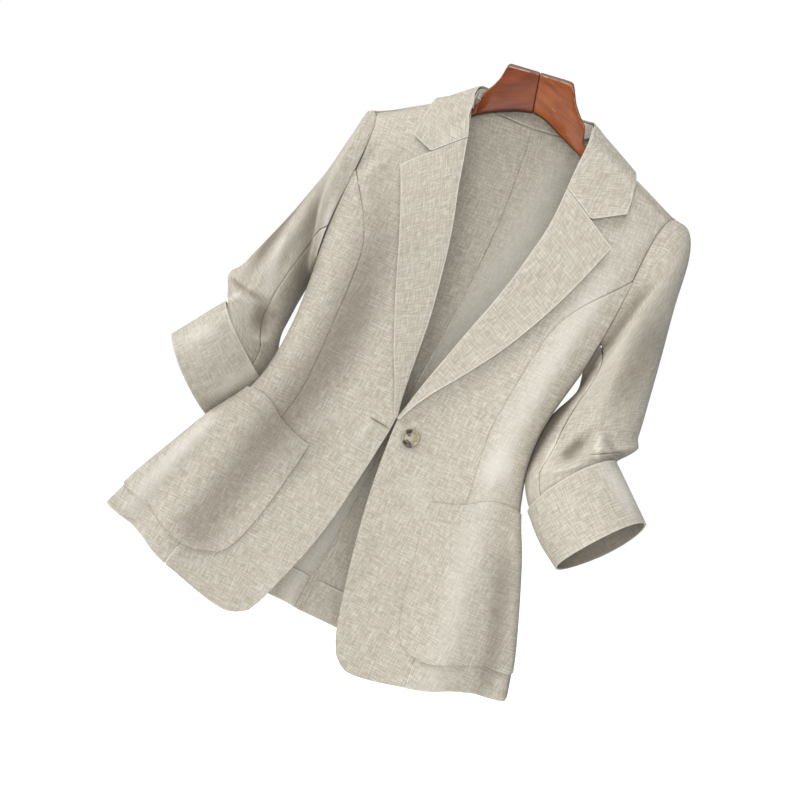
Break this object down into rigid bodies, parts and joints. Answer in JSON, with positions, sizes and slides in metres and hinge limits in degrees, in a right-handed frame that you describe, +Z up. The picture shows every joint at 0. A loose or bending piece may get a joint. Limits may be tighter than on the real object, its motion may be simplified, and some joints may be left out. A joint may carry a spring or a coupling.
{
  "type": "single breasted blazer on a hanger",
  "caption": "Single breasted linen blazer with notched lapels, patch pockets and turned-up three-quarter sleeves, hanging open below its button on a wooden hanger.",
  "frame": {"origin": "centre of the top of the hook seat, at the top of the hanger, where the whole thing is held", "axes": "+Z up, the front of the blazer faces -Y, the wearer's left is towards +X"},
  "size_m": [0.5701, 0.1447, 0.7021],
  "materials": {
    "cloth": "matt slubbed linen weave",
    "wood": "glossy reddish brown varnish",
    "horn": "polished, horn-like swirls",
    "steel": "satin"
  },
  "bodies": {
    "root": {"back_left": "cloth", "back_right": "cloth", "button": "horn", "collar": "cloth", "collar_stand": "cloth", "cuff_left": "cloth", "cuff_right": "cloth", "front_left": "cloth", "front_right": "cloth", "hanger_left": "wood", "hanger_right": "wood", "hem_turn_left": "cloth", "hem_turn_right": "cloth", "hook_seat": "steel", "lapel_left": "cloth", "lapel_right": "cloth", "pocket_left": "cloth", "pocket_right": "cloth", "side_front_left": "cloth", "side_front_right": "cloth", "top_sleeve_left": "cloth", "top_sleeve_right": "cloth", "under_sleeve_left": "cloth", "under_sleeve_right": "cloth"}
  },
  "joints": []
}
